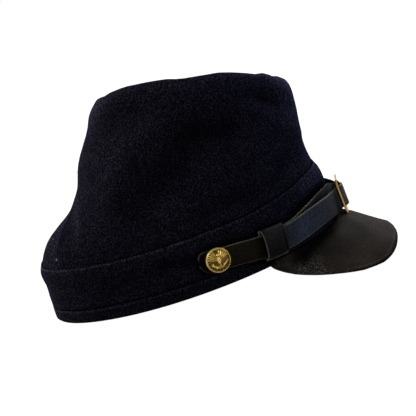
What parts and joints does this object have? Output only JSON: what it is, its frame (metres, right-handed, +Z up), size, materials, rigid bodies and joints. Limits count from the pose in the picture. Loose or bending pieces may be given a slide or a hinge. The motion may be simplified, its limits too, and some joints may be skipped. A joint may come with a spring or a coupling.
{
  "type": "kepi cap",
  "caption": "Soft wool kepi with a sloping crumpled crown, a sewn head band, a leather peak and a leather chin strap with keeper, slide buckle and domed buttons",
  "frame": {"origin": "on the floor under the middle of the bounding box of the cap as it stands by itself", "axes": "+Z up, the peak points to -Y, the wearer's right is -X; the rim plane is tipped 7.6 degrees, the front raised, because the cap stands on the back of its rim and the corners of its peak"},
  "size_m": [0.1822, 0.2448, 0.1453],
  "materials": {
    "navy_wool": "matte fulled wool, nearly black navy, with fine pale fibres",
    "peak_leather": "dark brown-black leather with fine grain, satin, lightly scuffed",
    "strap_leather": "black leather strap, satin, with pale raw edges",
    "brass": "polished stamped brass"
  },
  "bodies": {
    "root": {"band": "navy_wool", "crown": "navy_wool", "top": "navy_wool", "peak": "peak_leather", "strap_right": "strap_leather", "strap_left": "strap_leather", "keeper": "strap_leather", "buckle": "brass", "button_right": "brass", "button_left": "brass"}
  },
  "joints": []
}
